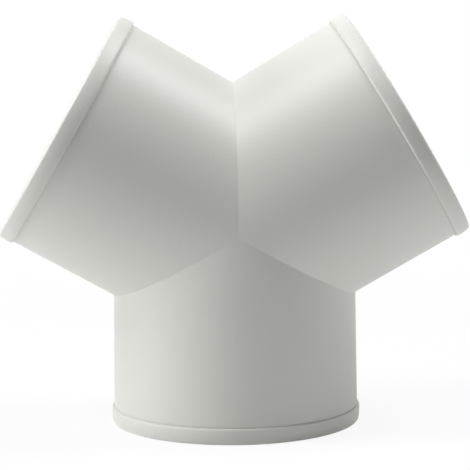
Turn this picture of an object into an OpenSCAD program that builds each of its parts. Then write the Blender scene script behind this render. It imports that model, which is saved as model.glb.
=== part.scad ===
// Duct wye: three equal tubes that meet at 120 degrees, moulded in one piece.
// Each tube ends in a socket for round duct, with a low band round its mouth.
// The wye stands on the mouth of its stem, and the other two tubes rise to the left and right.

/* [Duct socket] */
// Outside diameter of the round duct that pushes into each socket
duct_d = 100; // [80:1:200]
// Gap between the duct and the socket wall, all round
duct_clearance = 0.2; // [0.1:0.05:0.4]
// Depth of each socket, from its mouth to the shoulder that stops the duct
socket_depth = 38; // [25:1:60]
// Wall of the socket at its mouth, behind the band
socket_wall = 2; // [1.6:0.1:4]
// Height of the shoulder that stops the duct
stop_height = 1.2; // [0.6:0.1:2]
// Lead-in chamfer inside each mouth
lead_in = 1.2; // [0.6:0.1:1.4]

/* [Body] */
// Straight length of tube between the crotch and the socket, on a tube's short side
neck_length = 17; // [5:0.5:60]
// Taper of the walls, so that the moulding cores draw out
draft = 0.7; // [0.2:0.1:1]

/* [Mouth band] */
// Length of the low band round each mouth
band_length = 6.8; // [4:0.1:15]
// Height of the band above the tube, at its crown
band_height = 0.9; // [0.8:0.1:2]
// How far the band's domed face falls from its crown to the mouth
band_crown = 0.6; // [0.3:0.05:0.7]
// Round on the band's edge at the mouth
mouth_round = 0.7; // [0.4:0.1:1.2]
// Round on the band's other edge, where it steps down to the tube
band_round = 0.7; // [0.2:0.1:0.8]

/* [Hidden] */
$fn = 128;

socket_r = duct_d / 2 + duct_clearance;
mouth_r = socket_r + socket_wall;
band_r = mouth_r + band_height;
passage_r = socket_r - stop_height;
taper = tan(draft);

// The outlines of two neighbouring tubes cross at the crotch, crotch_reach along each tube.
// The tube's radius there follows from the taper over the length left to the mouth.
tube_length = socket_depth + neck_length;
crotch_reach = (mouth_r - taper * tube_length) / tan(60);
arm_length = crotch_reach + tube_length;
stop_reach = arm_length - socket_depth;

// The band's face is an arc in section, highest a third of the way from its step to the mouth
band_reach = arm_length - band_length;
crown_reach = band_reach + band_length / 3;
crown_radius = (pow(arm_length - crown_reach, 2) + pow(band_crown, 2)) / (2 * band_crown);
// Radius of the plain band that the crown is cut from
blank_r = band_r + band_height / 2;
// How far a round stands out of the crown where it starts, so that the two arcs cross
round_rise = 0.02;

// How far each tube runs past the meeting point of the axes, before its mitres cut it
overrun = 5;
// How far the tubes lap over each other at a mitre: a hair, so that they join into one solid
mitre_lap = 0.00000005;
// Angle between the diagonal [1, 1, 1] and each of the x, y and z axes
diagonal_tilt = acos(1 / sqrt(3));

// Radius of the band's face, at a distance from the meeting point of the axes
function crown_r(reach) = band_r - crown_radius
    + sqrt(pow(crown_radius, 2) - pow(reach - crown_reach, 2));

// Radius of the tapered outer wall, at a distance from the meeting point of the axes
function outer_r(reach) = mouth_r - taper * (arm_length - reach);

// Radius of the tapered air passage behind the shoulder
function inner_r(reach) = passage_r - taper * (stop_reach - reach);

// What a round of radius r takes off a corner whose sides meet at the origin
module corner_cut(r) {
    difference() {
        translate([-r, -r]) square(2 * r);
        translate([-r, -r]) circle(r);
    }
}

// What the crown takes off the plain band, from just before its step to just past the mouth
module crown_cut() {
    difference() {
        translate([mouth_r, band_reach - band_crown])
            square([2 * (blank_r - mouth_r), band_length + 2 * band_crown]);
        translate([band_r - crown_radius, crown_reach]) circle(crown_radius);
    }
}

// Half section of one tube: x is the radius, and y the distance from the meeting point
module wall_section() {
    difference() {
        polygon([
            [inner_r(-overrun), -overrun],
            [outer_r(-overrun), -overrun],
            [outer_r(band_reach), band_reach],
            [blank_r, band_reach],
            [blank_r, arm_length],
            [socket_r + lead_in, arm_length],
            [socket_r, arm_length - lead_in],
            [socket_r, stop_reach],
            [passage_r, stop_reach]
        ]);
        crown_cut();
        translate([crown_r(arm_length - mouth_round) + round_rise, arm_length])
            corner_cut(mouth_round);
        translate([crown_r(band_reach + band_round) + round_rise, band_reach])
            mirror([0, 1]) corner_cut(band_round);
    }
}

// The stem before it is mitred: it points down, and its section starts at the back
module stem() {
    rotate([0, 180, 0])
        rotate([0, 0, 90])
            rotate_extrude()
                wall_section();
}

// The third of all space in which x is larger than y and z, and the lap
module mitre_wedge() {
    span = 3 * arm_length;
    translate([-mitre_lap, 0, 0])
        intersection() {
            rotate([0, 0, 45]) translate([-span, -2 * span, -span]) cube(2 * span);
            rotate([0, -45, 0]) translate([-span, -span, -2 * span]) cube(2 * span);
        }
}

// The tubes are joined with the wye lying across the diagonal [1, 1, 1].
// There a third of a turn only swaps x, y and z, so the tubes match exactly at their mitres.
module lay_across_diagonal() {
    rotate([-45, 0, 0]) rotate([0, -diagonal_tilt, 0]) rotate([0, 0, -90]) children();
}

module stand_up() {
    rotate([0, 0, 90]) rotate([0, diagonal_tilt, 0]) rotate([45, 0, 0]) children();
}

module wye_body() {
    color("gainsboro")
        translate([0, 0, arm_length])
            stand_up()
                for (turn = [0, 120, 240])
                    rotate(turn, [1, 1, 1])
                        intersection() {
                            lay_across_diagonal() stem();
                            mitre_wedge();
                        }
}

wye_body();
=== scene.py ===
# %% [markdown]
# # A moulded duct wye
# A duct wye joins round ventilation ducts. Three equal tubes meet at 120 degrees,
# and each ends in a socket with a low band round its mouth. It is one injection
# moulding of off-white plastic, so the whole object is a single closed surface.
# This lesson turns one half section into a tube, cuts the tube to its mitres,
# copies it round, softens the seams, and then gives the plastic its satin finish.

# %% Load the frame
import math

import bmesh
import bpy
from mathutils import Matrix, Quaternion, Vector


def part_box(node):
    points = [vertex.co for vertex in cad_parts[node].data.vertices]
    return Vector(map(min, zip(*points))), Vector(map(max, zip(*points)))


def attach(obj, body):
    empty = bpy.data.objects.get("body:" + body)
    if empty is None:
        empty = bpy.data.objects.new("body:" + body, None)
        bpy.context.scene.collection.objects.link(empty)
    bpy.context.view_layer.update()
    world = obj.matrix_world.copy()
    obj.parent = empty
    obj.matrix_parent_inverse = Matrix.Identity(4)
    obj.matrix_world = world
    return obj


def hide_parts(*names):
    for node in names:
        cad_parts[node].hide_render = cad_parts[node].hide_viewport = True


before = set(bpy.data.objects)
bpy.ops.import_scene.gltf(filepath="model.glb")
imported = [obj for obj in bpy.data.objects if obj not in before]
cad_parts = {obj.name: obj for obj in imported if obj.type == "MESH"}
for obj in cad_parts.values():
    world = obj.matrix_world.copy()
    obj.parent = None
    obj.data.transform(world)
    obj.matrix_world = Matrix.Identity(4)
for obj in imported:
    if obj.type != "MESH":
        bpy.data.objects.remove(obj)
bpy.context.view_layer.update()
wye_low, wye_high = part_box("wye_body")
print("wye_body from", tuple(round(v, 4) for v in wye_low), "to", tuple(round(v, 4) for v in wye_high))

# %% [markdown]
# ## Sizes
# The sockets take round duct of 100 mm, so every size is written in millimetres
# and turned into Blender's metres once. Distances along a tube are called its
# reach: they start at the point where the three axes meet. The walls taper a
# little towards that point, as moulded walls do, so that the cores draw out. The
# tubes meet at 120 degrees, so each seam plane is at 60 degrees to two axes.
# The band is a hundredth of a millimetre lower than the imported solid's, so that
# the finer mesh made here stays inside the solid's box.

# %% Sizes of one tube
mm = 0.001
socket_r = 50.2 * mm
mouth_r = 52.2 * mm
band_r = 53.09 * mm
passage_r = 49.0 * mm
socket_depth = 38.0 * mm
neck_length = 17.0 * mm
band_length = 6.8 * mm
band_crown = 0.6 * mm
foot_depth = 0.2 * mm
foot_width = 0.8 * mm
lead_in = 1.2 * mm
taper = math.tan(math.radians(0.7))
mitre_angle = math.radians(60)

tube_length = socket_depth + neck_length
crotch_reach = (mouth_r - taper * tube_length) / math.tan(mitre_angle)
arm_length = crotch_reach + tube_length
stop_reach = arm_length - socket_depth
band_reach = arm_length - band_length
crown_reach = band_reach + band_length / 3
crown_radius = ((arm_length - crown_reach) ** 2 + band_crown**2) / (2 * band_crown)
foot_reach = band_reach - foot_width
overrun = 5 * mm
meeting_point = Vector((0, 0, arm_length))
print("each tube reaches", round(arm_length / mm, 2), "mm from the meeting point")


def outer_r(reach):
    """Radius of the tapered outer wall."""
    return mouth_r - taper * (arm_length - reach)


def inner_r(reach):
    """Radius of the tapered air passage behind the shoulder."""
    return passage_r - taper * (stop_reach - reach)


def band_face_r(reach):
    """Radius of the band's domed face, which is an arc in section."""
    return band_r - crown_radius + math.sqrt(crown_radius**2 - (reach - crown_reach) ** 2)


# %% [markdown]
# ## The camera
# The view is almost square on to the flat of the wye, from a little above its
# middle. A long lens from almost a metre away keeps the tubes' sides nearly
# parallel, which is what product pictures of fittings look like.

# %% Set up the camera
bpy.context.scene.view_settings.view_transform = "Standard"

view_azimuth = math.radians(-2.1)
view_elevation = math.radians(7.8)
view_roll = math.radians(-0.59)
view_distance = 0.932
view_target = meeting_point + Vector((0.0004, 0, -0.0054))

camera_data = bpy.data.cameras.new("camera")
camera_data.lens = 167.6
camera_data.sensor_width = 36
camera_data.clip_end = 50
camera = bpy.data.objects.new("camera", camera_data)
bpy.context.scene.collection.objects.link(camera)
bpy.context.scene.camera = camera

towards_camera = Vector(
    (
        math.sin(view_azimuth) * math.cos(view_elevation),
        -math.cos(view_azimuth) * math.cos(view_elevation),
        math.sin(view_elevation),
    )
)
camera.location = view_target + towards_camera * view_distance
camera.rotation_mode = "QUATERNION"
level = (-towards_camera).to_track_quat("-Z", "Y")
camera.rotation_quaternion = level @ Quaternion((0, 0, 1), view_roll)
print("camera at", tuple(round(v, 3) for v in camera.location))

# %% [markdown]
# ## One tube, from its half section
# A socketed tube is round everywhere, so it could be a stack of cylinders with
# their insides cut out. Turning a half section is closer to how the moulding
# tool is made: one line of corners describes the socket, the shoulder that stops
# the duct, the mouth and the outside, all at once. The band's face is slightly
# domed, so a formula gives it a few points on an arc. A shallow groove runs at
# the band's foot and shows as a fine dark line. The tube points down, like the
# stem, with the meeting point at the origin.

# %% Turn the half section
steps = 160
face_points = 7

face_step = band_length / (face_points - 1)
face_reaches = [arm_length - k * face_step for k in range(face_points)]
band_face = [(band_face_r(reach), reach) for reach in face_reaches]

section = [
    (inner_r(-overrun), -overrun),
    (passage_r, stop_reach),
    (socket_r, stop_reach),
    (socket_r, arm_length - lead_in),
    (socket_r + lead_in, arm_length),
    *band_face,
    (outer_r(band_reach) - foot_depth, band_reach),
    (outer_r(foot_reach), foot_reach),
    (outer_r(-overrun), -overrun),
]

tube = bmesh.new()
corners = [tube.verts.new((radius, 0, -reach)) for radius, reach in section]
sides = [tube.edges.new(pair) for pair in zip(corners, corners[1:])]
bmesh.ops.spin(
    tube,
    geom=corners + sides,
    cent=(0, 0, 0),
    axis=(0, 0, 1),
    angle=math.tau,
    steps=steps,
    use_merge=True,
)
print("turned tube:", len(tube.verts), "vertices,", len(tube.faces), "faces")


# %% [markdown]
# Real edges are never perfectly sharp. The band is rounded at the mouth and
# again where it steps down to the tube, and it is this second round that
# catches the light as a fine bright line. Each corner of the section is now a
# ring of edges, so a bevel on that ring rounds it all the way round.

# %% Round the rings
hair = 1e-6
mouth_round = 0.8 * mm
band_round = 0.85 * mm
lip_round = 0.2 * mm
edge_round = 0.3 * mm


def ring(bm, radius, reach):
    """The edges of the circle at this radius and reach, to within a hair."""
    def on_it(vert):
        near_radius = abs(math.hypot(vert.co.x, vert.co.y) - radius) < hair
        return near_radius and abs(vert.co.z + reach) < hair

    return [edge for edge in bm.edges if on_it(edge.verts[0]) and on_it(edge.verts[1])]


def round_ring(bm, radius, reach, size, segments):
    edges = ring(bm, radius, reach)
    bmesh.ops.bevel(
        bm,
        geom=edges,
        offset=size,
        offset_type="OFFSET",
        segments=segments,
        profile=0.5,
        affect="EDGES",
        material=-1,
    )
    print("rounded", len(edges), "edges at reach", round(reach / mm, 1), "mm")


round_ring(tube, band_face_r(arm_length), arm_length, mouth_round, segments=6)
round_ring(tube, band_face_r(band_reach), band_reach, band_round, segments=6)
round_ring(tube, outer_r(foot_reach), foot_reach, edge_round, segments=3)
round_ring(tube, socket_r + lead_in, arm_length, lip_round, segments=3)
round_ring(tube, socket_r, arm_length - lead_in, edge_round, segments=3)
round_ring(tube, socket_r, stop_reach, edge_round, segments=3)
round_ring(tube, passage_r, stop_reach, edge_round, segments=3)

# %% [markdown]
# ## The mitres
# Where two equal tubes cross, the seam lies in a flat plane, halfway between
# their axes. Each tube is cut by its two planes, like a mitred pipe. A boolean
# union would also find the seams, but the planes cut every tube at the same
# angles round its axis, so the copies meet vertex to vertex and need no repair.
# Plain rings are cut round the tube first, so that no face is a long thin strip.

# %% Cut rings and mitres
ring_gap = 6 * mm
cut_distance = 1e-7

for k in range(1, int(foot_reach / ring_gap)):
    bmesh.ops.bisect_plane(
        tube,
        geom=tube.verts[:] + tube.edges[:] + tube.faces[:],
        dist=cut_distance,
        plane_co=(0, 0, -k * ring_gap),
        plane_no=(0, 0, 1),
    )

mitre_normals = [
    Vector((side * math.cos(mitre_angle), 0, math.sin(mitre_angle))) for side in (1, -1)
]
for normal in mitre_normals:
    bmesh.ops.bisect_plane(
        tube,
        geom=tube.verts[:] + tube.edges[:] + tube.faces[:],
        dist=cut_distance,
        plane_co=(0, 0, 0),
        plane_no=normal,
        clear_outer=True,
    )
print("mitred tube:", len(tube.verts), "vertices")

# %% [markdown]
# ## Three tubes from one
# The three tubes are alike, so one is modelled and the other two are turned
# copies of it. The stem points down, and a third of a turn either way gives the
# tubes on the left and the right. Merging the doubled corners along the seams
# joins all three into one closed surface, which the count of open edges shows.

# %% Copy the tube round
merge_distance = 2e-6

stem = tube.verts[:] + tube.edges[:] + tube.faces[:]
for turn in (120, 240):
    arm = bmesh.ops.duplicate(tube, geom=stem)["geom"]
    bmesh.ops.rotate(
        tube,
        verts=[item for item in arm if isinstance(item, bmesh.types.BMVert)],
        cent=(0, 0, 0),
        matrix=Matrix.Rotation(math.radians(turn), 3, "Y"),
    )

bmesh.ops.remove_doubles(tube, verts=tube.verts[:], dist=merge_distance)
bmesh.ops.recalc_face_normals(tube, faces=tube.faces[:])
open_edges = sum(1 for edge in tube.edges if len(edge.link_faces) != 2)
volume = round(tube.calc_volume() / mm**3)
print("joined wye:", len(tube.faces), "faces,", open_edges, "open edges,", volume, "mm3")


# %% [markdown]
# The seams of a moulding have a small radius, because a mould has no knife
# edges. The seam is sharpest in the crotch and fades out at the front, where
# the three tubes run into each other almost without a corner. A bevel of one
# width does just that: on a nearly flat corner it hardly shows.

# %% Soften the seams
seam_start = -1 * mm
outer_seam_round = 1.2 * mm
inner_seam_round = 0.6 * mm


def on_mitre(vert):
    """Does the vertex lie on one of the three seam planes?"""
    for degrees in (0, 60, 120):
        turn = math.radians(degrees)
        if abs(vert.co.x * math.cos(turn) - vert.co.z * math.sin(turn)) < hair:
            return True
    return False


def from_axis(vert):
    """Distance of a seam's vertex from the axes of the two tubes that it joins."""
    return math.hypot(vert.co.y, math.hypot(vert.co.x, vert.co.z) * math.sin(mitre_angle))


def round_seams(bm, nearest, farthest, size):
    edges = [
        edge
        for edge in bm.edges
        if all(on_mitre(vert) and nearest < from_axis(vert) < farthest for vert in edge.verts)
    ]
    bmesh.ops.bevel(
        bm,
        geom=edges,
        offset=size,
        offset_type="OFFSET",
        segments=5,
        profile=0.5,
        affect="EDGES",
        clamp_overlap=True,
        material=-1,
    )
    print("rounded", len(edges), "seam edges")


round_seams(tube, outer_r(seam_start), outer_r(arm_length), outer_seam_round)
round_seams(tube, inner_r(seam_start), inner_r(stop_reach), inner_seam_round)
print("softened wye:", len(tube.faces), "faces")

# %% [markdown]
# ## From mesh to object
# The tubes were turned about the meeting point of their axes. The object stays
# at the origin, as every piece in this frame does, so it is the mesh in it that
# is lifted, until the stem's mouth stands on the floor. The shading is smooth,
# apart from edges of more than 35 degrees. Weighted normals keep the large faces
# even next to the small rounds.

# %% Make the object
crisp_angle = math.radians(35)

bmesh.ops.translate(tube, verts=tube.verts[:], vec=meeting_point)
bmesh.ops.recalc_face_normals(tube, faces=tube.faces[:])
for face in tube.faces:
    face.smooth = True

wye_mesh = bpy.data.meshes.new("wye")
tube.to_mesh(wye_mesh)
tube.free()
wye_mesh.set_sharp_from_angle(angle=crisp_angle)
wye = bpy.data.objects.new("wye", wye_mesh)
bpy.context.scene.collection.objects.link(wye)

weighted = wye.modifiers.new("weighted normals", "WEIGHTED_NORMAL")
weighted.mode = "FACE_AREA"
weighted.keep_sharp = True

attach(wye, "root")
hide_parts("wye_body")
print("wye:", len(wye_mesh.polygons), "faces")

# %% [markdown]
# ## Satin plastic
# The moulding is off-white plastic with a satin skin, neither glossy nor chalky.
# One colour and one roughness would look like a drawing, so both drift a little:
# broad, faint clouds in the colour, as the melt flowed and cooled, and a fine
# grain in the surface, a little over a millimetre wide, from the skin of the
# mould. The grain only shows where the light falls off across the tubes.

# %% Build the plastic
plastic = bpy.data.materials.new("satin_plastic")
plastic.use_nodes = True
nodes = plastic.node_tree.nodes
links = plastic.node_tree.links
nodes.clear()

output = nodes.new("ShaderNodeOutputMaterial")
shader = nodes.new("ShaderNodeBsdfPrincipled")
shader.inputs["IOR"].default_value = 1.55
links.new(shader.outputs["BSDF"], output.inputs["Surface"])

place = nodes.new("ShaderNodeTexCoord")

clouds = nodes.new("ShaderNodeTexNoise")
clouds.inputs["Scale"].default_value = 22
clouds.inputs["Detail"].default_value = 3
links.new(place.outputs["Object"], clouds.inputs["Vector"])

tint = nodes.new("ShaderNodeMix")
tint.data_type = "RGBA"
tint.inputs["A"].default_value = (0.675, 0.682, 0.636, 1)
tint.inputs["B"].default_value = (0.700, 0.707, 0.662, 1)
links.new(clouds.outputs["Fac"], tint.inputs["Factor"])
links.new(tint.outputs["Result"], shader.inputs["Base Color"])

gloss = nodes.new("ShaderNodeMapRange")
gloss.inputs["To Min"].default_value = 0.44
gloss.inputs["To Max"].default_value = 0.52
links.new(clouds.outputs["Fac"], gloss.inputs["Value"])
links.new(gloss.outputs["Result"], shader.inputs["Roughness"])

grain = nodes.new("ShaderNodeTexNoise")
grain.inputs["Scale"].default_value = 700
grain.inputs["Detail"].default_value = 2
links.new(place.outputs["Object"], grain.inputs["Vector"])

skin = nodes.new("ShaderNodeBump")
skin.inputs["Strength"].default_value = 1
skin.inputs["Distance"].default_value = 0.06 * mm
links.new(grain.outputs["Fac"], skin.inputs["Height"])
links.new(skin.outputs["Normal"], shader.inputs["Normal"])

wye_mesh.materials.append(plastic)
print("plastic:", len(nodes), "nodes")

# %% [markdown]
# ## The floor
# The wye stands on a white sweep in soft light. The floor is a plain disc, white
# to the camera but still able to show the wye's faint shadow. Its glow is a
# little weaker near the wye, so that the shadow shows there, and fades to full
# white further out.

# %% Lay the floor
floor_radius = 6
floor_height = -0.0002

floor_bm = bmesh.new()
bmesh.ops.create_circle(floor_bm, cap_ends=True, segments=96, radius=floor_radius)
floor_mesh = bpy.data.meshes.new("floor")
floor_bm.to_mesh(floor_mesh)
floor_bm.free()
floor = bpy.data.objects.new("floor", floor_mesh)
bpy.context.scene.collection.objects.link(floor)
floor.location.z = floor_height

white = bpy.data.materials.new("white_sweep")
white.use_nodes = True
nodes = white.node_tree.nodes
links = white.node_tree.links
nodes.clear()
output = nodes.new("ShaderNodeOutputMaterial")
paint = nodes.new("ShaderNodeBsdfDiffuse")
paint.inputs["Color"].default_value = (0.86, 0.86, 0.86, 1)
glow = nodes.new("ShaderNodeEmission")
glow.inputs["Color"].default_value = (1, 1, 1, 1)
glow.inputs["Strength"].default_value = 1
seen = nodes.new("ShaderNodeLightPath")
direct = nodes.new("ShaderNodeMath")
direct.operation = "MAXIMUM"
place = nodes.new("ShaderNodeTexCoord")
away = nodes.new("ShaderNodeVectorMath")
away.operation = "LENGTH"
fade = nodes.new("ShaderNodeMapRange")
fade.interpolation_type = "SMOOTHSTEP"
fade.inputs["From Min"].default_value = 0.10
fade.inputs["From Max"].default_value = 0.60
fade.inputs["To Min"].default_value = 0.9
fade.inputs["To Max"].default_value = 1
share = nodes.new("ShaderNodeMath")
share.operation = "MULTIPLY"
mix = nodes.new("ShaderNodeMixShader")
links.new(seen.outputs["Is Camera Ray"], direct.inputs[0])
links.new(seen.outputs["Is Glossy Ray"], direct.inputs[1])
links.new(place.outputs["Object"], away.inputs[0])
links.new(away.outputs["Value"], fade.inputs["Value"])
links.new(direct.outputs["Value"], share.inputs[0])
links.new(fade.outputs["Result"], share.inputs[1])
links.new(share.outputs["Value"], mix.inputs["Fac"])
links.new(paint.outputs["BSDF"], mix.inputs[1])
links.new(glow.outputs["Emission"], mix.inputs[2])
links.new(mix.outputs["Shader"], output.inputs["Surface"])
floor_mesh.materials.append(white)

# %% [markdown]
# ## Four soft lamps
# Area lamps give soft edges, as the softboxes of a studio do. Two stand high on
# the left and the right, and two stand low, so that the light falls off across
# each tube and shows that it is round. An environment picture could light the
# scene too, but would need a file. The world here is white to the camera and in
# reflections, and gives the wye no other light.

# %% Light the scene
lamp_distance = 1.3

world = bpy.data.worlds.new("studio")
bpy.context.scene.world = world
world.use_nodes = True
nodes = world.node_tree.nodes
links = world.node_tree.links
nodes.clear()
output = nodes.new("ShaderNodeOutputWorld")
room = nodes.new("ShaderNodeBackground")
room.inputs["Color"].default_value = (1, 1, 1, 1)
room.inputs["Strength"].default_value = 0
backdrop = nodes.new("ShaderNodeBackground")
backdrop.inputs["Color"].default_value = (1, 1, 1, 1)
backdrop.inputs["Strength"].default_value = 1
seen = nodes.new("ShaderNodeLightPath")
direct = nodes.new("ShaderNodeMath")
direct.operation = "MAXIMUM"
clear = nodes.new("ShaderNodeMath")
clear.operation = "MAXIMUM"
mix = nodes.new("ShaderNodeMixShader")
links.new(seen.outputs["Is Camera Ray"], direct.inputs[0])
links.new(seen.outputs["Is Glossy Ray"], direct.inputs[1])
links.new(direct.outputs["Value"], clear.inputs[0])
links.new(seen.outputs["Is Transmission Ray"], clear.inputs[1])
links.new(clear.outputs["Value"], mix.inputs["Fac"])
links.new(room.outputs["Background"], mix.inputs[1])
links.new(backdrop.outputs["Background"], mix.inputs[2])
links.new(mix.outputs["Shader"], output.inputs["Surface"])


def softbox(name, azimuth, elevation, width, height, watts):
    """An area lamp that looks at the wye. Azimuth 0 is the camera's side, and 90 the right."""
    a, e = math.radians(azimuth), math.radians(elevation)
    direction = Vector((math.sin(a) * math.cos(e), -math.cos(a) * math.cos(e), math.sin(e)))
    lamp_data = bpy.data.lights.new(name, "AREA")
    lamp_data.shape = "RECTANGLE"
    lamp_data.size = width
    lamp_data.size_y = height
    lamp_data.energy = watts
    lamp = bpy.data.objects.new(name, lamp_data)
    bpy.context.scene.collection.objects.link(lamp)
    lamp.location = meeting_point + direction * lamp_distance
    lamp.rotation_mode = "QUATERNION"
    lamp.rotation_quaternion = direction.to_track_quat("Z", "Y")


softbox("high_left", -79, 52, 0.5, 0.75, 12.0)
softbox("high_right", 99, 61.5, 0.5, 0.5, 10.5)
softbox("low_left", -90, 12, 0.45, 0.45, 7.4)
softbox("low_right", 100, 12, 0.45, 0.45, 2.4)
